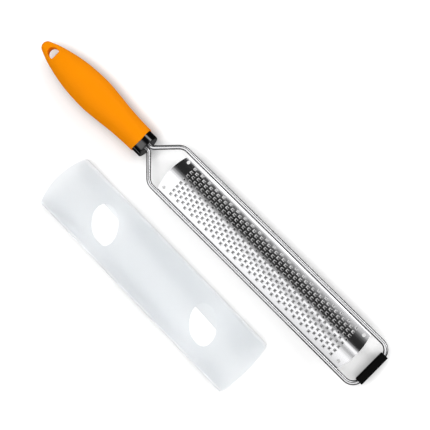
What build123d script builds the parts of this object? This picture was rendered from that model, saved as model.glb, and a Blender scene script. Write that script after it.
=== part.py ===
from build123d import *
from math import asin, cos, radians, sin, sqrt, tan
import os

# Rasp zester with its blade cover lying beside it. Millimetres.
# The origin is under the middle of the rubber foot, on the table.
# +X points from the handle to the foot, +Z up, and the cover lies on the -Y side.

os.makedirs("parts", exist_ok=True)

overrun = 20.0  # how far a trimming tool runs past the piece

# Wire frame
wire_diameter = 3.5
rail_spacing = 38.0  # between the centre lines of the two rails
yoke_angle = 45.0  # degrees between a rail and its yoke leg
neck_length = 2.2  # from the collar's face to the corner where the legs spread
tang_gap = 0.2
tang_length = 62.0  # inside the handle
hook_length = 4.8
end_corner_radius = 8.0
yoke_corner_radius = 10.0
neck_corner_radius = 4.0
hook_radius = 2.6

# Grip
grip_length = 108.8
grip_width = 28.4
grip_thickness = 19.0
grip_wall = 2.8
rim_scoop_radius = 21.7
hang_hole_width = 8.2
hang_hole_length = 8.0
hang_hole_inset = 7.6  # from the tip to the round end of the hole
hang_hole_corner = 0.9
hang_hole_rim = 0.5

# Collar of the handle core
collar_width = 19.4
collar_height = 17.2
collar_length = 7.7
collar_edge = 0.8

# Blade
blade_length = 184.5  # over the corners
blade_bow = 2.45  # how far each end bulges past its corners
blade_sheet = 0.4
blade_arch_radius = 40.0
blade_flange = 3.0
blade_edge_lift = 1.5  # the shoulders above the wire's centre line
blade_bend_radius = 0.8
blade_foot_gap = 17.4  # from the corners to the end bar's centre line
blade_yoke_gap = 8.1  # from the corners to where the yoke starts
weld_gap = 0.05
corner_hole_diameter = 2.7
corner_hole_inset = 3.1  # from the ends of the blade's sides
corner_hole_side_inset = 4.3

# Teeth: full columns and, half a pitch along, staggered columns with one tooth less
tooth_pitch = 7.46
tooth_row_pitch = 3.67
tooth_end_margin = 9.5  # at least this far from the ends of the blade's sides
tooth_side_margin = 4.0
tooth_hole_length = 2.35
tooth_hole_width = 2.2
tongue_width = 1.2
tongue_length = 1.3
tongue_sheet = 0.25
tongue_rise = 0.65
tongue_lap = 0.35  # into the sheet behind the hole
tongue_sink = 0.1  # below the surface at the end of the lap

# Foot
foot_length = 26.5  # along the end bar
foot_width = 5.6
foot_base_width = 4.4
foot_wall = 0.95  # rubber above the wire
foot_edge = 0.8
foot_end_edge = 0.4

# Cover
cover_end_gap = 3.0  # from its apexes to the yoke corners and to the foot, once it is on
cover_side_gap = 3.65  # from the wire to its inside, once it is on
cover_bow = 3.6
cover_height = 13.2
cover_shoulder_height = 6.6
cover_shoulder_inset = 2.4  # the sides lean in by this much
cover_sheet = 0.8
cover_fold_radius = 1.8
cover_shoulder_radius = 3.0
cover_wide_flap = 17.0  # at the middle, measured from the outside of the cover
cover_flap_slant = 2.2  # degrees; the wide flap widens towards the foot
cover_narrow_flap = 11.0
window_length = 31.4
window_width = 20.2
window_slant = -45.0
window_spacing = 103.8
window_row_turn = 0.7  # degrees against the cover's length
window_shift_along = 2.75  # from the cover's middle towards the foot
window_shift_across = 1.4  # towards the wide flap
cover_lie_gap = 18.95  # between the rail and the cover, as it was put down
cover_setback = 52.05  # its middle behind the blade's middle
cover_turn = -0.7  # degrees

# Places worked out from the sizes. The frame reaches from the end bar's centre line to the yoke's start.
frame_reach = blade_foot_gap + blade_length + blade_yoke_gap
wire_radius = wire_diameter / 2
rail_y = rail_spacing / 2
tang_y = (wire_diameter + tang_gap) / 2
axis_height = grip_thickness / 2
neck_x = -frame_reach - (rail_y - tang_y) / tan(radians(yoke_angle))
collar_face_x = neck_x - neck_length
rim_x = collar_face_x - collar_length
tip_x = rim_x - grip_length
tang_end_x = collar_face_x - tang_length
hole_centre_x = tip_x + hang_hole_inset + hang_hole_width / 2
hole_flat_x = tip_x + hang_hole_inset + hang_hole_length
foot_top_z = axis_height + wire_radius + foot_wall

# Blade section and tooth field
blade_half_width = rail_y - wire_radius - weld_gap
blade_sagitta = blade_arch_radius - sqrt(blade_arch_radius**2 - blade_half_width**2)
blade_edge_z = axis_height + blade_edge_lift
blade_crown_z = blade_edge_z + blade_sagitta
flange_foot_z = blade_edge_z - blade_flange
blade_centre_x = -blade_foot_gap - blade_length / 2
tooth_columns = 1 + int((blade_length - 2 * tooth_end_margin) / tooth_pitch)
tooth_rows = 1 + int(2 * (blade_half_width - tooth_side_margin) / tooth_row_pitch)
corner_hole_spacing = 2 * (blade_half_width - corner_hole_side_inset)
field_start_x = blade_centre_x - (tooth_columns - 1) * tooth_pitch / 2
field_end_x = blade_centre_x + (tooth_columns - 1) * tooth_pitch / 2

# Cover, sized to go over the blade and the rails, and its section on the middle of its sheet
cover_length = frame_reach - foot_width / 2 - 2 * (cover_end_gap + cover_bow)
cover_width = rail_spacing + wire_diameter + 2 * (cover_side_gap + cover_sheet)
cover_centre_x = blade_centre_x - cover_setback
cover_centre_y = -(rail_y + wire_radius + cover_lie_gap + cover_width / 2)
sheet_z = cover_sheet / 2
fold_y = cover_width / 2 - sheet_z
shoulder_y = fold_y - cover_shoulder_inset
flap_drop = (cover_length / 2 + cover_bow) * tan(radians(cover_flap_slant))

# Grip stations from the rim to the tip, as shares of its length, width and thickness.
# The first lies past the rim, and the scoop trims it.
grip_station_share = [-0.04, 0.08, 0.20, 0.32, 0.44, 0.56, 0.68, 0.80, 0.90, 0.97, 1.0]
grip_width_share = [0.734, 0.752, 0.806, 0.905, 0.990, 0.983, 0.903, 0.731, 0.528, 0.326, 0.14]
grip_thickness_share = [0.955, 0.957, 0.965, 0.983, 0.998, 0.995, 0.90, 0.69, 0.46, 0.29, 0.10]
stem_stations = 8  # the core's stem ends at this station


def station_plane(x):
    """A plane square to the tool's axis at x, with its own x to the side and y up."""
    return Plane(origin=(x, 0, axis_height), x_dir=(0, 1, 0), z_dir=(1, 0, 0))


def grip_loft(inset, count, mode):
    """Loft the first count stations of the grip, drawn in by inset all round."""
    stations = list(zip(grip_station_share, grip_width_share, grip_thickness_share))[:count]
    sections = []
    for along, width, thickness in stations:
        with BuildSketch(station_plane(rim_x - along * grip_length)) as section:
            Ellipse(width * grip_width / 2 - inset, thickness * grip_thickness / 2 - inset)
        sections.append(section.sketch)
    loft(sections, mode=mode)


def rim_scoop(mode):
    """The curved boundary between the grip's rim and the collar."""
    with BuildSketch(Plane.XZ) as scoop:
        with Locations((rim_x + rim_scoop_radius, axis_height)):
            Circle(rim_scoop_radius)
    extrude(scoop.sketch, amount=grip_width, both=True, mode=mode)


def sweep_wire(mode):
    """Run the wire's round section from one hooked tang round the end bar to the other."""
    half = [
        (tang_end_x, tang_y + hook_length),
        (tang_end_x, tang_y),
        (neck_x, tang_y),
        (-frame_reach, rail_y),
        (0, rail_y),
    ]
    other_half = [(x, -y) for x, y in reversed(half)]
    radii = [hook_radius, neck_corner_radius, yoke_corner_radius, end_corner_radius]
    with BuildLine(Plane.XY.offset(axis_height)) as path:
        FilletPolyline(*half, *other_half, radius=radii + radii[::-1])
    with BuildSketch(Plane(origin=path.line @ 0, z_dir=path.line % 0)) as section:
        Circle(wire_radius)
    sweep(section.sketch, path=path.line, mode=mode)


def bowed_outline(length, bow, width):
    """A plan outline with its ends bowed across width, and room to spare at the sides."""
    with BuildSketch() as outline:
        with BuildLine():
            for end in (1, -1):
                corner = (end * length / 2, width / 2)
                far_corner = (end * length / 2, -width / 2)
                Line((corner[0], corner[1] + overrun), corner)
                ThreePointArc(corner, (corner[0] + end * bow, 0), far_corner)
                Line(far_corner, (corner[0], far_corner[1] - overrun))
                side_y = end * (width / 2 + overrun)
                Line((-length / 2, side_y), (length / 2, side_y))
        make_face()
    return outline.sketch


def blade_section():
    """The arched sheet with its two flanges, x across the blade and y up."""
    with BuildSketch() as section:
        with BuildLine():
            Line((blade_half_width, flange_foot_z), (blade_half_width, blade_edge_z))
            ThreePointArc(
                (blade_half_width, blade_edge_z), (0, blade_crown_z), (-blade_half_width, blade_edge_z)
            )
            Line((-blade_half_width, blade_edge_z), (-blade_half_width, flange_foot_z))
            Line((-blade_half_width, flange_foot_z), (blade_half_width, flange_foot_z))
        make_face()
        fillet(section.vertices().group_by(Axis.Y)[-1], blade_bend_radius)
        offset(amount=-blade_sheet, mode=Mode.SUBTRACT)
        with Locations((0, flange_foot_z)):
            Rectangle(2 * (blade_half_width - blade_sheet), 2 * blade_sheet, mode=Mode.SUBTRACT)
    return section.sketch


def tooth_strip(columns):
    """A strip of blade with a full column of teeth and, if columns is 2, a staggered one."""
    sheet = blade_section()
    root = tooth_hole_length / 2
    teeth = []
    for column in range(columns):
        rows = tooth_rows - column
        for row in range(rows):
            teeth.append((column * tooth_pitch / 2, (row - (rows - 1) / 2) * tooth_row_pitch))
    with BuildPart() as strip:
        with BuildSketch(Plane.YZ.offset(-tooth_pitch / 4)):
            add(sheet)
        extrude(amount=columns * tooth_pitch / 2)
        with BuildSketch(Plane.XY.offset(blade_crown_z)):
            with Locations(*teeth):
                Rectangle(tooth_hole_length, tooth_hole_width)
        extrude(amount=-blade_crown_z, mode=Mode.SUBTRACT)
        for along, across in teeth:
            # Each tongue stands on the slope of the arch, rooted on the foot side of its hole
            slope = asin(across / blade_arch_radius)
            surface_z = blade_crown_z - blade_arch_radius * (1 - cos(slope))
            tongue_plane = Plane(
                origin=(along, across, surface_z), x_dir=(1, 0, 0), z_dir=(0, -cos(slope), sin(slope))
            )
            with BuildSketch(tongue_plane):
                Polygon(
                    (root + tongue_lap, -tongue_sink),
                    (root, 0),
                    (root - tongue_length, tongue_rise),
                    (root - tongue_length, tongue_rise - tongue_sheet),
                    (root, -tongue_sheet),
                    (root + tongue_lap, -tongue_sheet),
                    align=None,
                )
        extrude(amount=tongue_width / 2, both=True)
    return strip.part


def blade_end(edge_x, side):
    """The plain end of the blade beyond edge_x, bowed in plan, with two corner holes."""
    sheet = blade_section()
    plan = bowed_outline(blade_length, blade_bow, 2 * blade_half_width)
    with BuildPart() as end:
        with BuildSketch(Plane.YZ.offset(edge_x)):
            add(sheet)
        extrude(amount=blade_centre_x + side * (blade_length / 2 + blade_bow) - edge_x)
        with BuildSketch():
            with Locations((blade_centre_x, 0)):
                add(plan)
                with GridLocations(blade_length - 2 * corner_hole_inset, corner_hole_spacing, 2, 2):
                    Circle(corner_hole_diameter / 2, mode=Mode.SUBTRACT)
        extrude(amount=blade_crown_z + overrun, mode=Mode.INTERSECT)
    return end.part


# Wire frame
with BuildPart() as wire_frame:
    sweep_wire(Mode.ADD)
wire_frame.part.label = "wire_frame"
export_step(wire_frame.part, "parts/wire_frame.step")

# Blade: strips of teeth between two plain ends
double_strip = tooth_strip(2)
blade_pieces = [
    Pos(field_start_x + step * tooth_pitch, 0) * double_strip for step in range(tooth_columns - 1)
]
blade_pieces.append(Pos(field_end_x, 0) * tooth_strip(1))
blade_pieces.append(blade_end(field_start_x - tooth_pitch / 4, -1))
blade_pieces.append(blade_end(field_end_x + tooth_pitch / 4, 1))
with BuildPart() as grater_blade:
    add(blade_pieces, clean=False)
grater_blade.part.label = "grater_blade"
export_step(grater_blade.part, "parts/grater_blade.step")

# Foot: a tapered rubber block moulded round the end bar
with BuildPart() as foot:
    with BuildSketch(Plane.XZ) as profile:
        with BuildLine():
            Polyline(
                (-foot_base_width / 2, 0),
                (foot_base_width / 2, 0),
                (foot_width / 2, axis_height),
                (foot_width / 2, foot_top_z),
                (-foot_width / 2, foot_top_z),
                (-foot_width / 2, axis_height),
                close=True,
            )
        make_face()
        fillet(profile.vertices().group_by(Axis.Y)[-1], foot_edge)
    extrude(amount=foot_length / 2, both=True)
    fillet(foot.faces().filter_by(Axis.Y).edges(), foot_end_edge)
    sweep_wire(Mode.SUBTRACT)
foot.part.label = "foot"
export_step(foot.part, "parts/foot.step")

# Handle core: the collar and the stem inside the grip, moulded round the tangs
with BuildPart() as handle_core:
    with BuildSketch(station_plane(collar_face_x)):
        Ellipse(collar_width / 2, collar_height / 2)
    extrude(amount=-(collar_length + collar_edge))
    fillet(handle_core.faces().sort_by(Axis.X)[-1].edges(), collar_edge)
    rim_scoop(Mode.INTERSECT)
    grip_loft(grip_wall, stem_stations, Mode.ADD)
    sweep_wire(Mode.SUBTRACT)
handle_core.part.label = "handle_core"
export_step(handle_core.part, "parts/handle_core.step")

# Grip: the soft overmould with its scooped rim and the hanging hole
with BuildPart() as grip:
    grip_loft(0, len(grip_station_share), Mode.ADD)
    rim_scoop(Mode.SUBTRACT)
    grip_loft(grip_wall, stem_stations, Mode.SUBTRACT)
    with BuildSketch() as hole:
        with BuildLine():
            start = (hole_centre_x, hang_hole_width / 2)
            finish = (hole_centre_x, -hang_hole_width / 2)
            ThreePointArc(start, (tip_x + hang_hole_inset, 0), finish)
            Polyline(finish, (hole_flat_x, finish[1]), (hole_flat_x, start[1]), start)
        make_face()
        fillet(hole.vertices().group_by(Axis.X)[-1], hang_hole_corner)
    extrude(amount=2 * axis_height, mode=Mode.SUBTRACT)
    hole_edges = grip.edges(Select.LAST)
    wall_edges = hole_edges.filter_by(Axis.Z)
    fillet(hole_edges - wall_edges, hang_hole_rim)
grip.part.label = "grip"
export_step(grip.part, "parts/grip.step")

# Cover: a folded sheet with a crown, a wide flap on one side and a narrow one on the other
cover_plane = Plane((cover_centre_x, cover_centre_y, 0)).rotated((0, 0, cover_turn))
cover_across = Plane(origin=cover_plane.origin, x_dir=cover_plane.y_dir, z_dir=cover_plane.x_dir)
cover_outline = bowed_outline(cover_length, cover_bow, cover_width)
window_middle = cover_plane.from_local_coords((window_shift_along, window_shift_across, cover_height))
window_plane = Plane(window_middle).rotated((0, 0, cover_turn + window_row_turn))
with BuildPart() as cover:
    with BuildSketch(cover_across):
        with BuildLine() as fold:
            Polyline(
                (cover_width / 2 - cover_wide_flap - flap_drop, sheet_z),
                (fold_y, sheet_z),
                (shoulder_y, cover_shoulder_height),
            )
            ThreePointArc(
                (shoulder_y, cover_shoulder_height),
                (0, cover_height - sheet_z),
                (-shoulder_y, cover_shoulder_height),
            )
            Polyline(
                (-shoulder_y, cover_shoulder_height),
                (-fold_y, sheet_z),
                (cover_narrow_flap - cover_width / 2, sheet_z),
            )
            corners = fold.vertices().sort_by(Axis.X)
            fillet([corners[0], corners[-1]], cover_fold_radius)
            shoulders = fold.vertices().group_by(Axis.Y)[-1]
            fillet(shoulders, cover_shoulder_radius)
        trace(line_width=cover_sheet)
    extrude(amount=cover_length / 2 + cover_bow, both=True)
    with BuildSketch(cover_plane):
        add(cover_outline)
    extrude(amount=cover_height + overrun, mode=Mode.INTERSECT)
    with BuildSketch(cover_plane):
        with Locations((0, cover_width / 2 - cover_wide_flap)):
            Rectangle(
                cover_length + overrun,
                2 * flap_drop + cover_sheet,
                rotation=-cover_flap_slant,
                align=(Align.CENTER, Align.MAX),
            )
    extrude(amount=2 * cover_sheet, mode=Mode.SUBTRACT)
    with BuildSketch(window_plane):
        with GridLocations(window_spacing, cover_width, 2, 1):
            Ellipse(window_length / 2, window_width / 2, rotation=window_slant)
    extrude(amount=cover_shoulder_height - cover_height, mode=Mode.SUBTRACT)
cover.part.label = "cover"
export_step(cover.part, "parts/cover.step")
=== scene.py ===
"""Looks of the rasp zester and its blade cover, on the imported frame. Metres, in the part's own frame."""

from math import asin, cos, pi, radians, sin, sqrt, tan

import bmesh
import bpy
from mathutils import Matrix, Vector


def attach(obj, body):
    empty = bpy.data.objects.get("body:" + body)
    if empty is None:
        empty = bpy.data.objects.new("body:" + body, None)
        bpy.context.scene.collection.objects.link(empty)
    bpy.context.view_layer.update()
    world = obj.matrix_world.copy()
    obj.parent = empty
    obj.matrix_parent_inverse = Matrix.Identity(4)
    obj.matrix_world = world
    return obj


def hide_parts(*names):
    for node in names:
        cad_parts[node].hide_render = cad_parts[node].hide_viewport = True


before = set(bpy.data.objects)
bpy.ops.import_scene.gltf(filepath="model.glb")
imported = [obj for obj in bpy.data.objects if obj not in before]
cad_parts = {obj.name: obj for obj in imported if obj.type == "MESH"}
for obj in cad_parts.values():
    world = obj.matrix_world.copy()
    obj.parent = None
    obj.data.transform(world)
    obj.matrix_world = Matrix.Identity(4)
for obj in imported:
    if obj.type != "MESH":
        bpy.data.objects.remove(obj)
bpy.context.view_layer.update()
MM = 0.001

# Camera: the photograph's viewpoint, above the blade and turned 45 degrees to it
CAMERA_AT = Vector((-0.0761, -0.0009, 0.6125))
CAMERA_TO = Vector((-0.1576, -0.0009, 0.0095))
CAMERA_UP = Vector((-1.0, 1.0, 0.0))
SENSOR = 36.0
FOCAL_SHARE = 825 / 430  # focal length as a share of the picture's width
CLIP_START = 0.01
CLIP_END = 10.0


def make_camera():
    data = bpy.data.cameras.new("camera")
    data.sensor_width = SENSOR
    data.sensor_fit = "HORIZONTAL"
    data.lens = SENSOR * FOCAL_SHARE
    data.clip_start = CLIP_START
    data.clip_end = CLIP_END
    camera = bpy.data.objects.new("camera", data)
    bpy.context.scene.collection.objects.link(camera)
    ahead = (CAMERA_TO - CAMERA_AT).normalized()
    right = ahead.cross(CAMERA_UP).normalized()
    up = right.cross(ahead)
    turn = Matrix((right, up, -ahead)).transposed().to_4x4()
    camera.matrix_world = Matrix.Translation(CAMERA_AT) @ turn
    bpy.context.scene.camera = camera


make_camera()


# Shader nodes
def node_tree(owner):
    owner.use_nodes = True
    tree = owner.node_tree
    tree.nodes.clear()
    return tree


def principled(name):
    """A new material with one Principled shader."""
    material = bpy.data.materials.new(name)
    tree = node_tree(material)
    shader = tree.nodes.new("ShaderNodeBsdfPrincipled")
    output = tree.nodes.new("ShaderNodeOutputMaterial")
    tree.links.new(shader.outputs[0], output.inputs[0])
    return material, tree, shader


def connect(tree, node, socket, value):
    """Link a socket to another node's output, or set it to a plain value."""
    if hasattr(value, "links"):
        tree.links.new(value, node.inputs[socket])
    else:
        node.inputs[socket].default_value = value


def math_node(tree, operation, *values):
    node = tree.nodes.new("ShaderNodeMath")
    node.operation = operation
    for index, value in enumerate(values):
        connect(tree, node, index, value)
    return node.outputs[0]


def map_node(tree, value, low, high, to_low=0.0, to_high=1.0):
    """A linear map of value from one range onto another, held at its ends."""
    node = tree.nodes.new("ShaderNodeMapRange")
    connect(tree, node, "Value", value)
    for socket, level in (("From Min", low), ("From Max", high), ("To Min", to_low), ("To Max", to_high)):
        node.inputs[socket].default_value = level
    return node.outputs[0]


def mix_node(tree, share, first, second):
    """A colour between two, each a plain colour or another node's output."""
    node = tree.nodes.new("ShaderNodeMix")
    node.data_type = "RGBA"
    for socket, value in ((0, share), (6, first), (7, second)):
        connect(tree, node, socket, value)
    return node.outputs[2]


def ramp_node(tree, value, stops):
    """A piecewise linear map of value, given as (value, result) pairs of shares from 0 to 1."""
    node = tree.nodes.new("ShaderNodeValToRGB")
    connect(tree, node, 0, value)
    elements = node.color_ramp.elements
    while len(elements) < len(stops):
        elements.new(0.5)
    for element, (place, result) in zip(elements, stops):
        element.position = place
        element.color = (result, result, result, 1)
    return node.outputs["Color"]


def split_node(tree, vector):
    """The x, y and z of a vector."""
    node = tree.nodes.new("ShaderNodeSeparateXYZ")
    connect(tree, node, 0, vector)
    return node.outputs


# Floor
FLOOR_SIZE = 3.0  # half its width
FLOOR_Z = -0.0002
FLOOR_ROUGHNESS = 0.6
WHITE = (1, 1, 1, 1)
BOUNCE_GREY = (0.45, 0.45, 0.45, 1)  # what other surfaces get back from the floor
FLOOR_GLOW = 0.13  # lifts the floor to the photograph's white
PAINTED_SHADOW_REACH = 11 * MM  # how far the painted shadow round a piece spreads
PAINTED_SHADOW_SAMPLES = 12
PAINTED_SHADOW_OPEN = (0.45, 0.97)  # the range of openness that the painted shadow is drawn over
PAINTED_SHADOW_TONE = 0.5  # the floor's painted shadow tone in a tight nook


def make_floor():
    mesh = bpy.data.meshes.new("floor")
    size = FLOOR_SIZE
    corners = [(-size, -size, 0), (size, -size, 0), (size, size, 0), (-size, size, 0)]
    mesh.from_pydata(corners, [], [(0, 1, 2, 3)])
    floor = bpy.data.objects.new("floor", mesh)
    floor.location.z = FLOOR_Z
    bpy.context.scene.collection.objects.link(floor)
    material, tree, shader = principled("floor")
    path = tree.nodes.new("ShaderNodeLightPath").outputs
    # Painted contact shadow: for camera rays the floor's colour darkens with occlusion near each piece
    shadow_occlusion = tree.nodes.new("ShaderNodeAmbientOcclusion")
    shadow_occlusion.samples = PAINTED_SHADOW_SAMPLES
    shadow_occlusion.inputs["Distance"].default_value = PAINTED_SHADOW_REACH
    painted_shade = map_node(tree, shadow_occlusion.outputs["AO"], *PAINTED_SHADOW_OPEN, PAINTED_SHADOW_TONE)
    near = mix_node(tree, path["Is Camera Ray"], WHITE, painted_shade)
    pale = mix_node(tree, path["Is Diffuse Ray"], near, BOUNCE_GREY)
    connect(tree, shader, "Base Color", pale)
    shader.inputs["Roughness"].default_value = FLOOR_ROUGHNESS
    shader.inputs["Emission Color"].default_value = WHITE
    glow = math_node(tree, "MULTIPLY", path["Is Camera Ray"], FLOOR_GLOW)
    connect(tree, shader, "Emission Strength", glow)
    mesh.materials.append(material)
    floor.visible_glossy = False


# The studio's light by direction: degrees from straight up towards +Y, and how bright it is there,
# once towards the handle and once towards the foot
LIGHT = 2.1
HANDLE_SKY = [
    (-180, 0.08), (-130, 0.02), (-64, 0.02), (-54, 1.1), (-46, 1.3), (-6, 1.3),
    (-2, 1.05), (1, 0.8), (4.4, 0.5), (7.7, 0.23), (11, 0.07), (14, 0.02), (43, 0.02), (46, 1.0),
    (50, 3.0), (60, 3.0), (66, 0.02), (180, 0.08),
]
FOOT_SKY = [
    (-180, 0.08), (-130, 0.02), (-64, 0.02), (-56, 0.7), (-46, 0.82), (-37, 0.95), (-23, 1.15),
    (-19, 1.0), (-15, 0.75), (-10, 0.46), (-6.5, 0.5), (-2, 1.25), (1.5, 1.1), (6, 0.12),
    (10, 0.02), (24, 0.03), (28, 0.07), (33, 0.17), (37, 0.4), (42, 0.6), (48, 0.65), (53, 3.0),
    (62, 3.0), (68, 0.02), (180, 0.08),
]
SKY_TOP = 3.0  # the brightest value in both
HANDLE_END = -0.19  # the two skies' directions along X
FOOT_END = 0.08
# What is left of that light by the direction's share along +Z, and then along +X
HORIZON = [(-1.0, 1.0), (-0.8, 1.0), (-0.6, 0.05), (0.12, 0.05), (0.3, 1.0), (1.0, 1.0)]
FAR_END = [(-1.0, 0.2), (-0.6, 0.2), (-0.4, 1.0), (0.58, 1.0), (0.84, 0.2), (1.0, 0.2)]


def sky_ramp(tree, turn, stops):
    """The light of a sky, given as (degrees, light) pairs, by a share of the full turn."""
    return ramp_node(tree, turn, [((degrees + 180) / 360, glow / SKY_TOP) for degrees, glow in stops])


def share_ramp(tree, share, stops):
    """A ramp over a direction's share along one axis, from -1 to 1."""
    place = math_node(tree, "MULTIPLY_ADD", share, 0.5, 0.5)
    return ramp_node(tree, place, [((level + 1) / 2, left) for level, left in stops])


def make_world():
    world = bpy.data.worlds.new("studio")
    bpy.context.scene.world = world
    tree = node_tree(world)
    x, y, z = split_node(tree, tree.nodes.new("ShaderNodeTexCoord").outputs["Generated"])
    angle = math_node(tree, "ARCTAN2", y, z)
    turn = math_node(tree, "MULTIPLY_ADD", angle, 0.5 / pi, 0.5)
    along = map_node(tree, x, HANDLE_END, FOOT_END)
    sky = mix_node(tree, along, sky_ramp(tree, turn, HANDLE_SKY), sky_ramp(tree, turn, FOOT_SKY))
    light = math_node(tree, "MULTIPLY", sky, share_ramp(tree, z, HORIZON))
    light = math_node(tree, "MULTIPLY", light, share_ramp(tree, x, FAR_END))
    studio = tree.nodes.new("ShaderNodeBackground")
    studio.inputs["Strength"].default_value = LIGHT * SKY_TOP
    connect(tree, studio, "Color", light)
    backdrop = tree.nodes.new("ShaderNodeBackground")
    backdrop.inputs["Color"].default_value = WHITE
    seen = tree.nodes.new("ShaderNodeLightPath").outputs["Is Camera Ray"]
    mix = tree.nodes.new("ShaderNodeMixShader")
    connect(tree, mix, 0, seen)
    tree.links.new(studio.outputs[0], mix.inputs[1])
    tree.links.new(backdrop.outputs[0], mix.inputs[2])
    output = tree.nodes.new("ShaderNodeOutputWorld")
    tree.links.new(mix.outputs[0], output.inputs[0])


make_floor()
make_world()
bpy.context.scene.view_settings.view_transform = "Standard"


# Meshes are worked out in millimetres with the part's own sizes
def angles(count):
    """Angles at even steps round a full turn."""
    return [2 * pi * k / count for k in range(count)]


def mesh_from(name, verts, faces, face_up=False):
    """A mesh in metres from millimetre points, its normals outward, or upward with face_up."""
    mesh = bpy.data.meshes.new(name)
    mesh.from_pydata([Vector(v) * MM for v in verts], [], faces)
    shape = bmesh.new()
    shape.from_mesh(mesh)
    bmesh.ops.recalc_face_normals(shape, faces=shape.faces)
    if face_up:
        outward = sum(face.normal.z * face.calc_area() for face in shape.faces)
    else:
        outward = shape.calc_volume(signed=True)
    if outward < 0:
        bmesh.ops.reverse_faces(shape, faces=shape.faces)
    shape.to_mesh(mesh)
    shape.free()
    return mesh


def add_object(name, mesh):
    piece = bpy.data.objects.new(name, mesh)
    bpy.context.scene.collection.objects.link(piece)
    return piece


def settle(piece):
    """Turn the piece's modifiers into plain mesh."""
    bpy.context.view_layer.update()
    graph = bpy.context.evaluated_depsgraph_get()
    mesh = bpy.data.meshes.new_from_object(piece.evaluated_get(graph))
    piece.modifiers.clear()
    piece.data = mesh


def cut(piece, cutter_meshes):
    """Take the cutters out of the piece."""
    cutters = []
    for index, mesh in enumerate(cutter_meshes):
        cutter = add_object(f"cutter_{index}", mesh)
        trim = piece.modifiers.new("cut", "BOOLEAN")
        trim.operation = "DIFFERENCE"
        trim.solver = "EXACT"
        trim.object = cutter
        cutters.append(cutter)
    settle(piece)
    for cutter in cutters:
        bpy.data.objects.remove(cutter, do_unlink=True)


def solidify(piece, thickness, offset):
    sheet = piece.modifiers.new("sheet", "SOLIDIFY")
    sheet.thickness = thickness * MM
    sheet.offset = offset
    sheet.use_even_offset = True
    settle(piece)


def dress(piece, material, body, node, crease=32):
    """Smooth the piece but for its creases, give it its look and body, and hide the imported part it stands
    in for.
    """
    mesh = piece.data
    mesh.shade_smooth()
    mesh.set_sharp_from_angle(angle=radians(crease))
    mesh.materials.clear()
    mesh.materials.append(material)
    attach(piece, body)
    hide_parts(node)


def grid_faces(rows, width):
    """The quads of a grid of rows of width points each, as ((row, place), quad)."""
    for row in range(rows - 1):
        for k in range(width - 1):
            start = row * width + k
            yield (row, k), (start, start + 1, start + width + 1, start + width)


def rings_mesh(name, rings):
    """A closed mesh through rings of as many points each, with its two ends closed."""
    count = len(rings[0])
    faces = []
    for row in range(len(rings) - 1):
        low, high = row * count, (row + 1) * count
        for i in range(count):
            j = (i + 1) % count
            faces.append((low + i, low + j, high + j, high + i))
    faces.append(tuple(range(count)))
    faces.append(tuple(range((len(rings) - 1) * count, len(rings) * count)))
    return mesh_from(name, [point for ring in rings for point in ring], faces)


def corner_arc(corner, into, out, radius, count):
    """The arc that rounds a corner between two directions, as (point, direction) pairs."""
    turn = into.angle_signed(out)
    start = corner - into * (radius * tan(abs(turn) / 2))
    side = 1 if turn < 0 else -1
    centre = start + Vector((-into.y, into.x)) * radius * side
    arc = []
    for k in range(count + 1):
        spin = Matrix.Rotation(-turn * k / count, 2)
        arc.append((centre + spin @ (start - centre), spin @ into))
    return arc


# Wire
AXIS_Z = 9.5
WIRE_RADIUS = 1.75
WIRE_SIDES = 36
RAIL_Y = 19.0
FRAME_REACH = 210.0
TANG_Y = 1.85
TANG_LENGTH = 62.0
HOOK_LENGTH = 4.8
NECK_LENGTH = 2.2
COLLAR_LENGTH = 7.7
NECK_X = TANG_Y - RAIL_Y - FRAME_REACH
COLLAR_FACE_X = NECK_X - NECK_LENGTH
RIM_X = COLLAR_FACE_X - COLLAR_LENGTH
TANG_END_X = COLLAR_FACE_X - TANG_LENGTH
WIRE_BENDS = [2.6, 4.0, 10.0, 8.0]  # radii at the hook, the neck, the yoke's start and the end
BEND_STEP = radians(5)


def rounded_path(points, radii):
    """Points in a plane along a polyline with rounded corners, with the direction at each."""
    path = [(points[0], (points[1] - points[0]).normalized())]
    for before, corner, after, radius in zip(points, points[1:], points[2:], radii):
        into = (corner - before).normalized()
        out = (after - corner).normalized()
        count = max(2, round(abs(into.angle_signed(out)) / BEND_STEP))
        path += corner_arc(corner, into, out, radius, count)
    path.append((points[-1], (points[-1] - points[-2]).normalized()))
    return path


def make_wire():
    half = [
        Vector((TANG_END_X, TANG_Y + HOOK_LENGTH)),
        Vector((TANG_END_X, TANG_Y)),
        Vector((NECK_X, TANG_Y)),
        Vector((-FRAME_REACH, RAIL_Y)),
        Vector((0, RAIL_Y)),
    ]
    points = half + [Vector((p.x, -p.y)) for p in reversed(half)]
    rings = []
    for place, ahead in rounded_path(points, WIRE_BENDS + WIRE_BENDS[::-1]):
        side = Vector((-ahead.y, ahead.x))
        ring = []
        for angle in angles(WIRE_SIDES):
            flat = place + side * WIRE_RADIUS * cos(angle)
            ring.append((flat.x, flat.y, AXIS_Z + WIRE_RADIUS * sin(angle)))
        rings.append(ring)
    piece = add_object("wire", rings_mesh("wire", rings))
    dress(piece, wire_look(), "zester", "wire_frame")


# Blade
BLADE_LENGTH = 184.5
BLADE_BOW = 2.45
BLADE_SHEET = 0.4
BLADE_ARCH = 40.0
BLADE_HALF_WIDTH = 17.2
BLADE_EDGE_Z = 11.0
BLADE_FOOT_Z = 8.0
BLADE_BEND = 0.8
BLADE_CENTRE_X = -109.65
BEND_POINTS = 7
EDGE_LINES = [0.6, 1.2]  # lines of points along the sheet, this far in from its bends
FLANGE_LINES = [10.0, 9.0]  # heights of the lines of points down a flange
END_SHARES = [0.0, 0.12, 0.25, 0.5, 0.75]  # rows of points across an end, from its tip to the teeth
CORNER_HOLE = 1.35
CORNER_HOLE_SIDES = 24
CORNER_INSET = 3.1
CORNER_SIDE_INSET = 4.3
CORNER_CUT = [8.0, 18.0]  # from below the sheet to above it

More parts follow.
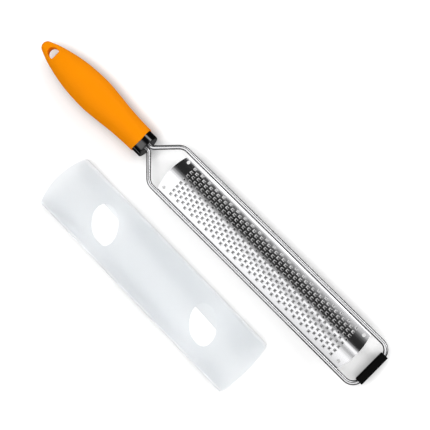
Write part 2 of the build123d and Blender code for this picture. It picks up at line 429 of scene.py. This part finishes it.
# Teeth
TOOTH_PITCH = 7.46
TOOTH_ROW = 3.67
TOOTH_COLUMNS = 23
TOOTH_ROWS = 8
HOLE_LENGTH = 2.35
HOLE_WIDTH = 2.2
TONGUE_WIDTH = 1.2
TONGUE_LENGTH = 1.3
TONGUE_RISE = 0.65
TONGUE_STEPS = 5
TONGUE_CURL = 1.4  # over 1, it rises most near its tip
TONGUE_TAPER = 0.22  # how much narrower its tip is, as a share


def arch_z(y):
    """Height of the blade's outside above the table, without its bends."""
    drop = BLADE_ARCH - sqrt(BLADE_ARCH**2 - y * y)
    sagitta = BLADE_ARCH - sqrt(BLADE_ARCH**2 - BLADE_HALF_WIDTH**2)
    return BLADE_EDGE_Z + sagitta - drop


def bend_points():
    """The bend between the arch and a flange as (y, z), from the arch to the flange."""
    inner = BLADE_ARCH - BLADE_BEND
    centre_y = BLADE_HALF_WIDTH - BLADE_BEND
    centre_z = arch_z(0) - BLADE_ARCH + sqrt(inner**2 - centre_y**2)
    start = asin(centre_y / inner)
    points = []
    for k in range(BEND_POINTS):
        angle = start + (pi / 2 - start) * k / (BEND_POINTS - 1)
        points.append((centre_y + BLADE_BEND * sin(angle), centre_z + BLADE_BEND * cos(angle)))
    return points


def tooth_columns():
    """The columns of teeth as (index, x)."""
    return [
        (index, BLADE_CENTRE_X + (index - (TOOTH_COLUMNS - 1)) * TOOTH_PITCH / 2)
        for index in range(2 * TOOTH_COLUMNS - 1)
    ]


def tooth_rows(column):
    """The y of each tooth in a column."""
    rows = TOOTH_ROWS - column % 2
    return [(row - (rows - 1) / 2) * TOOTH_ROW for row in range(rows)]


def merged(values, least=0.01):
    """Sorted values without near repeats."""
    kept = []
    for value in sorted(values):
        if not kept or value - kept[-1] > least:
            kept.append(value)
    return kept


def blade_section():
    """Points across the blade's outside as (y, z)."""
    bend = bend_points()
    edge = bend[0][0]
    lines = [-edge, edge]
    for column in (0, 1):
        for y in tooth_rows(column):
            for half in (HOLE_WIDTH / 2, TONGUE_WIDTH / 2):
                lines += [y - half, y + half]
    for inset in EDGE_LINES:
        lines += [edge - inset, inset - edge]
    arch = [(y, arch_z(y)) for y in merged(lines)]
    flange = bend[1:] + [(BLADE_HALF_WIDTH, z) for z in (*FLANGE_LINES, BLADE_FOOT_Z)]
    return [(-y, z) for y, z in reversed(flange)] + arch + flange


def end_row(section, side, teeth_x, share):
    """A row of points across one end of the blade, between its bowed tip and the teeth."""
    row = []
    for y, z in section:
        bulge = BLADE_BOW * (1 - (y / BLADE_HALF_WIDTH) ** 2)
        tip = BLADE_CENTRE_X + side * BLADE_LENGTH / 2 + side * bulge
        row.append((tip + (teeth_x - tip) * share, y, z))
    return row


def blade_rows(section):
    """The sheet's points, row by row along the blade, with a row at each edge of each column of holes."""
    edges = []
    for _, x in tooth_columns():
        edges += [x - HOLE_LENGTH / 2, x + HOLE_LENGTH / 2]
    rows = [end_row(section, -1, edges[0], share) for share in END_SHARES]
    rows += [[(x, y, z) for y, z in section] for x in edges]
    return rows + [end_row(section, 1, edges[-1], share) for share in reversed(END_SHARES)]


def teeth_places(section):
    """The cells left open for the holes, and for each tongue the points of its root and its y."""
    width = len(section)
    open_cells = set()
    roots = []
    for index, _ in tooth_columns():
        row = len(END_SHARES) + 2 * index
        for y in tooth_rows(index):
            away = [abs((section[k][0] + section[k + 1][0]) / 2 - y) for k in range(width - 1)]
            open_cells.update((row, k) for k in range(width - 1) if away[k] < HOLE_WIDTH / 2)
            root = [k for k in range(width - 1) if away[k] < TONGUE_WIDTH / 2]
            start = (row + 1) * width
            roots.append((list(range(start + root[0], start + root[-1] + 2)), y))
    return open_cells, roots


def add_tongue(verts, faces, root, y):
    """Grow a tongue from its root at the hole's edge, back over the hole and up."""
    slope = asin(y / BLADE_ARCH)
    base = [verts[i] for i in root]
    last = root
    for step in range(1, TONGUE_STEPS + 1):
        share = step / TONGUE_STEPS
        rise = TONGUE_RISE * share**TONGUE_CURL
        narrow = 1 - TONGUE_TAPER * share**3
        line = []
        for root_x, root_y, _ in base:
            side = y + (root_y - y) * narrow
            x = root_x - TONGUE_LENGTH * share
            line.append(len(verts))
            verts.append((x, side + rise * sin(slope), arch_z(side) + rise * cos(slope)))
        for k in range(len(line) - 1):
            faces.append((last[k], last[k + 1], line[k + 1], line[k]))
        last = line


def corner_holes():
    """Cutters for the four holes near the blade's corners."""
    cutters = []
    for end in (-1, 1):
        for side in (-1, 1):
            x = BLADE_CENTRE_X + end * (BLADE_LENGTH / 2 - CORNER_INSET)
            y = side * (BLADE_HALF_WIDTH - CORNER_SIDE_INSET)
            circle = [
                (x + CORNER_HOLE * cos(angle), y + CORNER_HOLE * sin(angle))
                for angle in angles(CORNER_HOLE_SIDES)
            ]
            cutters.append(rings_mesh("hole", [[(*place, z) for place in circle] for z in CORNER_CUT]))
    return cutters


def make_blade():
    section = blade_section()
    rows = blade_rows(section)
    verts = [point for row in rows for point in row]
    open_cells, roots = teeth_places(section)
    faces = [quad for cell, quad in grid_faces(len(rows), len(section)) if cell not in open_cells]
    for root, y in roots:
        add_tongue(verts, faces, root, y)
    piece = add_object("blade", mesh_from("blade", verts, faces, face_up=True))
    solidify(piece, BLADE_SHEET, -1)
    cut(piece, corner_holes())
    dress(piece, blade_look(), "zester", "grater_blade")


# Grip
GRIP_LENGTH = 108.8
GRIP_WIDTH = 28.4
GRIP_THICKNESS = 19.0
GRIP_WALL = 2.8
GRIP_EDGE = 0.7
GRIP_SIDES = 112
SCOOP_RADIUS = 21.7
TIP_X = RIM_X - GRIP_LENGTH
STATIONS = [-0.04, 0.08, 0.20, 0.32, 0.44, 0.56, 0.68, 0.80, 0.90, 0.97]
WIDTHS = [0.734, 0.752, 0.806, 0.905, 0.990, 0.983, 0.903, 0.731, 0.528, 0.326]
THICKNESSES = [0.955, 0.957, 0.965, 0.983, 0.998, 0.995, 0.90, 0.69, 0.46, 0.29]
HOLLOW_SHARE = 0.8  # how far the hollow for the stem reaches in
HOLLOW_RINGS = 8
RIM_INSETS = [2.2, 1.6, 1.1]  # rings across the rim's face
EDGE_STEPS = 5
SCOOP_FADE = 4.0  # the length over which the scooped rings turn straight
BODY_START_X = RIM_X - SCOOP_FADE
BODY_END_X = RIM_X - STATIONS[-1] * GRIP_LENGTH
SCOOPED_RINGS = 4
BODY_RINGS = 84
TIP_RINGS = 12
TIP_STEPS = 12.15  # a little over the rings, so that the last keeps some width
HEIGHT_TRIES = 3  # a scooped ring's height and x depend on each other


def spline_table(places, values, at):
    """Smooth value at a place between the given ones."""
    at = min(max(at, places[0]), places[-1])
    last = len(places) - 1
    k = min(max(sum(place <= at for place in places) - 1, 0), last - 1)

    def slope(i):
        if i in (0, last):
            j = min(i, last - 1)
            return (values[j + 1] - values[j]) / (places[j + 1] - places[j])
        before = (values[i] - values[i - 1]) / (places[i] - places[i - 1])
        after = (values[i + 1] - values[i]) / (places[i + 1] - places[i])
        span = places[i + 1] - places[i - 1]
        return (before * (places[i + 1] - places[i]) + after * (places[i] - places[i - 1])) / span

    span = places[k + 1] - places[k]
    t = (at - places[k]) / span
    return (
        (2 * t**3 - 3 * t**2 + 1) * values[k] + (t**3 - 2 * t**2 + t) * span * slope(k)
        + (3 * t**2 - 2 * t**3) * values[k + 1] + (t**3 - t**2) * span * slope(k + 1)
    )


def grip_size(x):
    """Half width and half thickness of the grip at x."""
    share = (RIM_X - x) / GRIP_LENGTH
    width = min(spline_table(STATIONS, WIDTHS, share), 1) * GRIP_WIDTH / 2
    thickness = min(spline_table(STATIONS, THICKNESSES, share), 1) * GRIP_THICKNESS / 2
    if share > STATIONS[-1]:
        depth = max(x - TIP_X, 0)
        full = GRIP_LENGTH * (1 - STATIONS[-1])
        tip_radius = (width**2 + full**2) / (2 * full)
        round_off = sqrt(max(2 * tip_radius * depth - depth**2, 0)) / width
        width *= round_off
        thickness *= round_off
    return width, thickness


def scooped_x(z):
    """The x of the grip's rim at height z."""
    return RIM_X + SCOOP_RADIUS - sqrt(SCOOP_RADIUS**2 - (z - AXIS_Z) ** 2)


def grip_ring(x_at, inset=0.0):
    """A ring in from the grip's surface by the inset; x_at gives the x for a height."""
    ring = []
    for angle in angles(GRIP_SIDES):
        x = RIM_X
        for _ in range(HEIGHT_TRIES):
            width, thickness = grip_size(x)
            x = x_at(AXIS_Z + (thickness - inset) * sin(angle))
        width, thickness = grip_size(x)
        ring.append((x, (width - inset) * cos(angle), AXIS_Z + (thickness - inset) * sin(angle)))
    return ring


def hollow_rings():
    """Rings of the hollow for the stem, from its end to the rim."""
    end = RIM_X - HOLLOW_SHARE * GRIP_LENGTH
    rings = []
    for k in range(HOLLOW_RINGS):
        share = k / (HOLLOW_RINGS - 1)
        rings.append(grip_ring(lambda z: end + (scooped_x(z) - end) * share, GRIP_WALL))
    return rings


def rim_rings():
    """Rings across the rim's face and round its outer edge."""
    rings = [grip_ring(scooped_x, inset) for inset in RIM_INSETS]
    for k in range(EDGE_STEPS + 1):
        angle = pi / 2 * k / EDGE_STEPS
        inset = GRIP_EDGE * (1 - sin(angle))
        rings.append(grip_ring(lambda z: scooped_x(z) - GRIP_EDGE + GRIP_EDGE * cos(angle), inset))
    return rings


def body_rings():
    """Rings from the rim's outer edge to the rounded tip."""
    rings = []
    for k in range(1, SCOOPED_RINGS + 1):
        share = k / SCOOPED_RINGS
        rings.append(grip_ring(lambda z: (scooped_x(z) - GRIP_EDGE) * (1 - share) + BODY_START_X * share))
    for k in range(1, BODY_RINGS + 1):
        x = BODY_START_X + (BODY_END_X - BODY_START_X) * k / BODY_RINGS
        rings.append(grip_ring(lambda z: x))
    for k in range(1, TIP_RINGS + 1):
        x = TIP_X + (BODY_END_X - TIP_X) * (1 - sin(pi / 2 * k / TIP_STEPS))
        rings.append(grip_ring(lambda z: x))
    return rings


def make_grip():
    rings = hollow_rings() + rim_rings() + body_rings()
    piece = add_object("soft_grip", rings_mesh("soft_grip", rings))
    cut(piece, [hang_hole_cutter()])
    dress(piece, grip_look(), "zester", "grip", crease=40)


# Hanging hole
HANG_WIDTH = 8.2
HANG_LENGTH = 8.0
HANG_INSET = 7.6  # from the grip's tip
HANG_ROUND_X = TIP_X + HANG_INSET + HANG_WIDTH / 2
HANG_FLAT_X = TIP_X + HANG_INSET + HANG_LENGTH
HANG_CORNER = 0.9
HANG_RIM = 0.9
HANG_ROUND_STEPS = 32
HANG_CORNER_STEPS = 8
RIM_DEGREES = [0, 20, 40, 58, 70]  # round the rim's curve, from the hole's wall outward
CUTTER_OUT = 1.6  # the cutter's first ring clear of the grip, in rim radii out from the hole
CUTTER_UP = 0.35  # and up from the grip's surface
LEAST_WIDTH = 0.1


def hang_outline():
    """The hanging hole's outline with its outward direction at each point."""
    radius = HANG_WIDTH / 2
    points = []
    for k in range(HANG_ROUND_STEPS + 1):
        angle = pi / 2 + pi * k / HANG_ROUND_STEPS
        points.append((HANG_ROUND_X + radius * cos(angle), radius * sin(angle), cos(angle), sin(angle)))
    corner_x = HANG_FLAT_X - HANG_CORNER
    corner_y = radius - HANG_CORNER
    for side, first in ((-1, -pi / 2), (1, 0)):
        for k in range(HANG_CORNER_STEPS + 1):
            angle = first + pi / 2 * k / HANG_CORNER_STEPS
            x = corner_x + HANG_CORNER * cos(angle)
            y = side * corner_y + HANG_CORNER * sin(angle)
            points.append((x, y, cos(angle), sin(angle)))
    return points


def grip_top(x, y):
    """Half height of the grip over (x, y)."""
    width, thickness = grip_size(x)
    return thickness * sqrt(max(1 - (y / max(width, LEAST_WIDTH)) ** 2, 0.0))


def flare_ring(outline, side, out, up):
    """The hole's outline on one side of the grip, widened by out and raised by up from the surface."""
    ring = []
    for x, y, out_x, out_y in outline:
        x += out_x * out
        y += out_y * out
        ring.append((x, y, AXIS_Z + side * (grip_top(x, y) + up)))
    return ring


def hang_hole_cutter():
    """A cutter for the hanging hole that leaves a rounded rim at both surfaces."""
    outline = hang_outline()
    rings = []
    for side in (-1, 1):
        flare = []
        for angle in map(radians, RIM_DEGREES):
            down = HANG_RIM * (1 - sin(angle))
            flare.append(flare_ring(outline, side, HANG_RIM * (1 - cos(angle)), -down))
        flare.append(flare_ring(outline, side, HANG_RIM * CUTTER_OUT, HANG_RIM * CUTTER_UP))
        flare.append([(x, y, AXIS_Z + side * GRIP_THICKNESS) for x, y, _ in flare[-1]])
        rings += flare if side > 0 else flare[::-1]
    return rings_mesh("hang_hole", rings)


# Core with its collar
COLLAR_WIDTH = 19.4
COLLAR_HEIGHT = 17.2
COLLAR_EDGE = 0.8
COLLAR_EDGE_STEPS = 6
CORE_SIDES = 96
STEM_SHARES = [0.56, 0.4, 0.2]  # rings of the stem, as shares of the grip's length
STEM_INSET = 3.0  # the stem's last ring, in from the grip's rim
COLLAR_INSET = 0.6  # the collar's first ring, in from the grip's rim
COLLAR_MIDDLE = 3.5  # its second ring, out from the rim
FACE_SHARES = [0.75, 0.45, 0.15]  # rings across the collar's face


def ellipse_ring(x, half_width, half_height):
    return [(x, half_width * cos(angle), AXIS_Z + half_height * sin(angle)) for angle in angles(CORE_SIDES)]


def make_core():
    half_width, half_height = COLLAR_WIDTH / 2, COLLAR_HEIGHT / 2
    rings = []
    for x in [RIM_X - share * GRIP_LENGTH for share in STEM_SHARES] + [RIM_X - STEM_INSET]:
        width, thickness = grip_size(x)
        rings.append(ellipse_ring(x, width - GRIP_WALL, thickness - GRIP_WALL))
    for x in (RIM_X - COLLAR_INSET, RIM_X + COLLAR_MIDDLE):
        rings.append(ellipse_ring(x, half_width, half_height))
    for k in range(COLLAR_EDGE_STEPS + 1):
        angle = pi / 2 * k / COLLAR_EDGE_STEPS
        inset = COLLAR_EDGE * (1 - cos(angle))
        x = COLLAR_FACE_X - COLLAR_EDGE * (1 - sin(angle))
        rings.append(ellipse_ring(x, half_width - inset, half_height - inset))
    for share in FACE_SHARES:
        rings.append(ellipse_ring(COLLAR_FACE_X, half_width * share, half_height * share))
    piece = add_object("collar", rings_mesh("collar", rings))
    dress(piece, core_look(), "zester", "handle_core")


# Foot
FOOT_LENGTH = 26.5
FOOT_WIDTH = 5.6
FOOT_BASE_WIDTH = 4.4
FOOT_TOP_Z = 12.2
FOOT_BASE_EDGE = 0.4
FOOT_SIDE_ROUND = 3.0  # where the sides turn upright, level with the wire's axis
FOOT_EDGE = 0.8
FOOT_END_EDGE = 0.5
FOOT_CORNER_STEPS = 6
FOOT_END_STEPS = 5


def foot_outline():
    """The foot's outline across its length, with rounded corners."""
    base, wide = FOOT_BASE_WIDTH / 2, FOOT_WIDTH / 2
    half = [(base, 0, FOOT_BASE_EDGE), (wide, AXIS_Z, FOOT_SIDE_ROUND), (wide, FOOT_TOP_Z, FOOT_EDGE)]
    turns = [(-base, 0, FOOT_BASE_EDGE)] + half + [(-x, z, radius) for x, z, radius in half[:0:-1]]
    corners = [Vector((x, z)) for x, z, _ in turns]
    outline = []
    for i, corner in enumerate(corners):
        into = (corner - corners[i - 1]).normalized()
        out = (corners[(i + 1) % len(corners)] - corner).normalized()
        outline += [point for point, _ in corner_arc(corner, into, out, turns[i][2], FOOT_CORNER_STEPS)]
    return outline


def make_foot():
    outline = foot_outline()
    middle = Vector((0, FOOT_TOP_Z / 2))
    rings = []
    for end, steps in ((-1, range(FOOT_END_STEPS + 1)), (1, range(FOOT_END_STEPS, -1, -1))):
        for k in steps:
            angle = pi / 2 * k / FOOT_END_STEPS
            inset = FOOT_END_EDGE * (1 - sin(angle))
            y = end * (FOOT_LENGTH / 2 - FOOT_END_EDGE * (1 - cos(angle)))
            narrow, low = 1 - inset / (FOOT_WIDTH / 2), 1 - inset / (FOOT_TOP_Z / 2)
            ring = []
            for point in outline:
                away = point - middle
                shrunk = Vector((away.x * narrow, away.y * low)) + middle
                ring.append((shrunk.x, y, shrunk.y))
            rings.append(ring)
    piece = add_object("foot_pad", rings_mesh("foot_pad", rings))
    dress(piece, foot_look(), "zester", "foot")


# Cover
COVER_LENGTH = 194.0
COVER_BOW = 3.6
COVER_WIDTH = 50.4
COVER_HEIGHT = 13.2
COVER_SHOULDER_Z = 6.6
COVER_SHOULDER_INSET = 2.4
COVER_SHEET = 0.8
COVER_FOLD = 1.8
COVER_SHOULDER = 3.0
WIDE_FLAP = 17.0
FLAP_SLANT = 2.2
NARROW_FLAP = 11.0
WINDOW_LENGTH = 31.4
WINDOW_WIDTH = 20.2
WINDOW_SLANT = -45.0
WINDOW_SPACING = 103.8
WINDOW_TURN = 0.7
WINDOW_SHIFT = (2.75, 1.4)
WINDOW_SIDES = 120
WINDOW_CLEAR = 2  # the cutters' reach over the crown
COVER_TURN = -0.7
COVER_BACK = 52.05  # the cover's middle from the blade's, towards the handle
COVER_GAP = 18.95  # from the wire to the cover, but for its turn
COVER_CENTRE = (BLADE_CENTRE_X - COVER_BACK, -(RAIL_Y + WIRE_RADIUS + COVER_GAP + COVER_WIDTH / 2))
CROWN_STEPS = 26
CROWN_GAP = 0.15  # the least room between the crown's last point and the shoulder
SHOULDER_STEPS = 8
FOLD_STEPS = 10
FLAP_STEPS = 7
COVER_STEPS = 24
COVER_END = 8  # the length of each end, where the rows of points take up its bow
COVER_END_SHARES = [0.0, 0.15, 0.4, 0.7]  # rows of points across an end, from its tip inward


def to_cover(x, y, z):
    """A point of the cover's own frame, where it lies."""
    turn = radians(COVER_TURN)
    return (
        COVER_CENTRE[0] + x * cos(turn) - y * sin(turn),
        COVER_CENTRE[1] + x * sin(turn) + y * cos(turn),
        z,
    )


def cover_half_section(side):
    """The middle of the cover's sheet from the crown to the fold, as (y, z) on one side."""
    sheet_z = COVER_SHEET / 2
    fold_y = COVER_WIDTH / 2 - sheet_z
    shoulder_y = fold_y - COVER_SHOULDER_INSET
    crown_z = COVER_HEIGHT - sheet_z
    sagitta = crown_z - COVER_SHOULDER_Z
    radius = (shoulder_y**2 + sagitta**2) / (2 * sagitta)
    end = asin(shoulder_y / radius)
    crown = []
    for k in range(CROWN_STEPS + 1):
        angle = end * k / CROWN_STEPS
        crown.append(Vector((radius * sin(angle), crown_z - radius * (1 - cos(angle)))))
    ahead = Vector((cos(end), -sin(end)))
    corner = Vector((fold_y, sheet_z))
    down = (corner - crown[-1]).normalized()
    shoulder = corner_arc(crown[-1], ahead, down, COVER_SHOULDER, SHOULDER_STEPS)
    fold = corner_arc(corner, down, Vector((-1, 0)), COVER_FOLD, FOLD_STEPS)
    points = [point for point in crown if point.x < shoulder[0][0].x - CROWN_GAP]
    points += [point for point, _ in shoulder + fold]
    return [(side * point.x, point.y) for point in points]


def cover_section():
    """The middle of the cover's sheet from flap to flap, as (y, z, share across the wide flap)."""
    left = cover_half_section(-1)
    right = cover_half_section(1)
    left_y, right_y = left[-1][0], right[-1][0]
    narrow_edge = NARROW_FLAP - COVER_WIDTH / 2
    wide_edge = COVER_WIDTH / 2 - WIDE_FLAP
    sheet_z = COVER_SHEET / 2
    section = []
    for k in range(FLAP_STEPS):
        section.append((left_y + (narrow_edge - left_y) * (1 - k / FLAP_STEPS), sheet_z, 0))
    section += [(y, z, 0) for y, z in left[:0:-1] + right]
    for k in range(1, FLAP_STEPS + 1):
        section.append((right_y + (wide_edge - right_y) * k / FLAP_STEPS, sheet_z, k / FLAP_STEPS))
    return section


def cover_rows(section):
    """The x of each point of the sheet, row by row along the cover."""
    inner = COVER_LENGTH / 2 - COVER_END
    tips = [COVER_LENGTH / 2 + COVER_BOW * (1 - (y / (COVER_WIDTH / 2)) ** 2) for y, _, _ in section]
    rows = [[-tip + (tip - inner) * share for tip in tips] for share in COVER_END_SHARES]
    rows += [[-inner + 2 * inner * k / COVER_STEPS] * len(section) for k in range(COVER_STEPS + 1)]
    return rows + [[tip + (inner - tip) * share for tip in tips] for share in reversed(COVER_END_SHARES)]


def window_centres():
    """The middles of the two windows in the cover's own frame."""
    turn = radians(WINDOW_TURN)
    reach = WINDOW_SPACING / 2
    shift_x, shift_y = WINDOW_SHIFT
    return [(shift_x + side * reach * cos(turn), shift_y + side * reach * sin(turn)) for side in (-1, 1)]


def window_cutters():
    """Cutters for the two slanted oval windows."""
    slant = radians(WINDOW_SLANT + WINDOW_TURN)
    cutters = []
    for x, y in window_centres():
        rings = []
        for z in (COVER_SHOULDER_Z, COVER_HEIGHT + WINDOW_CLEAR):
            ring = []
            for angle in angles(WINDOW_SIDES):
                u, v = WINDOW_LENGTH / 2 * cos(angle), WINDOW_WIDTH / 2 * sin(angle)
                across = x + u * cos(slant) - v * sin(slant)
                ring.append(to_cover(across, y + u * sin(slant) + v * cos(slant), z))
            rings.append(ring)
        cutters.append(rings_mesh("window", rings))
    return cutters


def make_cover():
    section = cover_section()
    rows = cover_rows(section)
    slant = tan(radians(FLAP_SLANT))
    verts = []
    for row in rows:
        for x, (y, z, share) in zip(row, section):
            verts.append(to_cover(x, y - share * x * slant, z))
    faces = [quad for _, quad in grid_faces(len(rows), len(section))]
    piece = add_object("cover_shell", mesh_from("cover_shell", verts, faces))
    solidify(piece, COVER_SHEET, 0)
    cut(piece, window_cutters())
    dress(piece, cover_look(), "cover", "cover")


# Looks
NOISE_SPAN = (0.3, 0.7)  # nearly all values of a noise lie in it
STEEL_GRAIN = (0.06, 1, 1)  # stretched along the blade
STEEL_SHEET = [(0.40, 0.40, 0.408), (0.435, 0.435, 0.443)]
STEEL_WIRE = [(0.40, 0.40, 0.408), (0.44, 0.44, 0.448)]
ORANGE = [(0.82, 0.24, 0.0005), (0.86, 0.256, 0.0005)]
GLOSS_BLACK = [(0.0015, 0.0015, 0.0018), (0.003, 0.003, 0.0032)]
RUBBER_BLACK = [(0.001, 0.001, 0.001), (0.003, 0.003, 0.003)]
MILK = [(0.815, 0.83, 0.842), (0.84, 0.853, 0.864)]


def look_tree(name, metallic=0.0):
    """A new material with its shader, and the place on the object in metres."""
    material, tree, shader = principled(name)
    shader.inputs["Metallic"].default_value = metallic
    return material, tree, shader, tree.nodes.new("ShaderNodeTexCoord").outputs["Object"]


def noise(tree, place, scale, detail, stretch=(1, 1, 1)):
    """Noise with scale cells to the metre."""
    mapping = tree.nodes.new("ShaderNodeMapping")
    connect(tree, mapping, "Vector", place)
    mapping.inputs["Scale"].default_value = stretch
    node = tree.nodes.new("ShaderNodeTexNoise")
    connect(tree, node, "Vector", mapping.outputs[0])
    node.inputs["Scale"].default_value = scale
    node.inputs["Detail"].default_value = detail
    return node.outputs[0]


def vary(tree, shader, socket, value, low, high):
    """Drive a socket of the shader from low to high by a noise."""
    connect(tree, shader, socket, map_node(tree, value, *NOISE_SPAN, low, high))


def tint(tree, value, dark, light):
    """A colour between two by a value from 0 to 1."""
    return mix_node(tree, value, (*dark, 1), (*light, 1))


def bump(tree, shader, height, strength, distance):
    node = tree.nodes.new("ShaderNodeBump")
    node.inputs["Strength"].default_value = strength
    node.inputs["Distance"].default_value = distance * MM
    connect(tree, node, "Height", height)
    tree.links.new(node.outputs[0], shader.inputs["Normal"])


def blade_look():
    material, tree, shader, place = look_tree("polished_sheet", metallic=1.0)
    smudge = noise(tree, place, scale=45, detail=3)
    grain = noise(tree, place, scale=900, detail=3, stretch=STEEL_GRAIN)
    both = math_node(tree, "MULTIPLY_ADD", grain, 0.5, math_node(tree, "MULTIPLY", smudge, 0.5))
    vary(tree, shader, "Roughness", both, low=0.07, high=0.14)
    connect(tree, shader, "Base Color", tint(tree, smudge, *STEEL_SHEET))
    bump(tree, shader, grain, strength=0.12, distance=0.02)
    return material


def wire_look():
    material, tree, shader, place = look_tree("polished_wire", metallic=1.0)
    smudge = noise(tree, place, scale=70, detail=3)
    vary(tree, shader, "Roughness", smudge, low=0.2, high=0.28)
    connect(tree, shader, "Base Color", tint(tree, smudge, *STEEL_WIRE))
    bump(tree, shader, noise(tree, place, scale=1400, detail=2), strength=0.08, distance=0.02)
    return material


def grip_look():
    material, tree, shader, place = look_tree("orange_soft_touch")
    cloud = noise(tree, place, scale=60, detail=3)
    pores = noise(tree, place, scale=2600, detail=2)
    connect(tree, shader, "Base Color", tint(tree, cloud, *ORANGE))
    vary(tree, shader, "Roughness", cloud, low=0.5, high=0.62)
    shader.inputs["Specular IOR Level"].default_value = 0.03
    bump(tree, shader, pores, strength=0.25, distance=0.05)
    return material


def core_look():
    material, tree, shader, place = look_tree("gloss_black")
    cloud = noise(tree, place, scale=300, detail=2)
    vary(tree, shader, "Roughness", cloud, low=0.04, high=0.09)
    connect(tree, shader, "Base Color", tint(tree, cloud, *GLOSS_BLACK))
    shader.inputs["Specular IOR Level"].default_value = 0.52
    bump(tree, shader, cloud, strength=0.05, distance=0.02)
    return material


def foot_look():
    material, tree, shader, place = look_tree("black_rubber")
    cloud = noise(tree, place, scale=400, detail=3)
    vary(tree, shader, "Roughness", cloud, low=0.6, high=0.8)
    connect(tree, shader, "Base Color", tint(tree, cloud, *RUBBER_BLACK))
    shader.inputs["Specular IOR Level"].default_value = 0.04
    bump(tree, shader, noise(tree, place, scale=2200, detail=2), strength=0.3, distance=0.05)
    return material


# The wide flap lies under the crown; where it shows through the windows it gets painted shade, a slightly
# darker tone
SHADE_SHIFT = [(-2.6, -1.2), (-0.6, -1.2)]  # the parts of the flap with painted shade, from the windows over them
SHADE_EDGE = (1.1, 1.0)  # where the painted shade starts and is full, in window sizes from its middle
# the flap's tone under the windows, darkened as painted shade
FLAP_PAINTED_SHADE = (0.87, 0.88, 0.888)
# the flap's tone elsewhere, painted lighter than the shell to lift the shade where light passes two sheets
FLAP_PAINTED_LIFT = (0.98, 0.982, 0.985)
PAINTED_LIFT_Z = (1.5 * MM, 4 * MM)  # over these heights the flaps' painted lighter tone, which lifts the shade of light passing two sheets, turns to the shell's


def painted_flap_shade(tree, place, y):
    """Painted shade: 1 on the wide flap under the two windows, where the sheet lies open, and 0 elsewhere.
    """
    near = []
    for (x_at, y_at), (x_shift, y_shift) in zip(window_centres(), SHADE_SHIFT):
        x_at, y_at, _ = to_cover(x_at, y_at, 0)
        ellipse = tree.nodes.new("ShaderNodeMapping")
        ellipse.vector_type = "TEXTURE"
        connect(tree, ellipse, "Vector", place)
        ellipse.inputs["Location"].default_value = ((x_at + x_shift) * MM, (y_at + y_shift) * MM, 0)
        ellipse.inputs["Rotation"].default_value = (0, 0, radians(WINDOW_SLANT + WINDOW_TURN + COVER_TURN))
        ellipse.inputs["Scale"].default_value = (WINDOW_LENGTH / 2 * MM, WINDOW_WIDTH / 2 * MM, 1)
        length = tree.nodes.new("ShaderNodeVectorMath")
        length.operation = "LENGTH"
        connect(tree, length, 0, ellipse.outputs[0])
        near.append(length.outputs["Value"])
    painted_shade = map_node(tree, math_node(tree, "MINIMUM", *near), *SHADE_EDGE)
    wide = math_node(tree, "GREATER_THAN", y, COVER_CENTRE[1] * MM)
    return math_node(tree, "MULTIPLY", painted_shade, wide)


def cover_look():
    material, tree, shader, place = look_tree("translucent_sheet")
    cloud = noise(tree, place, scale=80, detail=3)
    frost = noise(tree, place, scale=1800, detail=2)
    vary(tree, shader, "Roughness", cloud, low=0.68, high=0.76)
    _, y, z = split_node(tree, place)
    # the flap's tone: painted shade under the windows, painted lighter elsewhere
    flap_painted_tone = tint(tree, painted_flap_shade(tree, place, y), FLAP_PAINTED_LIFT, FLAP_PAINTED_SHADE)
    # low on the sheet the flaps get the painted lighter tone, higher up the shell's milky tone
    tone = mix_node(tree, map_node(tree, z, *PAINTED_LIFT_Z), flap_painted_tone, tint(tree, cloud, *MILK))
    connect(tree, shader, "Base Color", tone)
    shader.inputs["Transmission Weight"].default_value = 1.0
    shader.inputs["IOR"].default_value = 1.25
    bump(tree, shader, frost, strength=0.1, distance=0.03)
    return material


make_wire()
make_blade()
make_grip()
make_core()
make_foot()
make_cover()
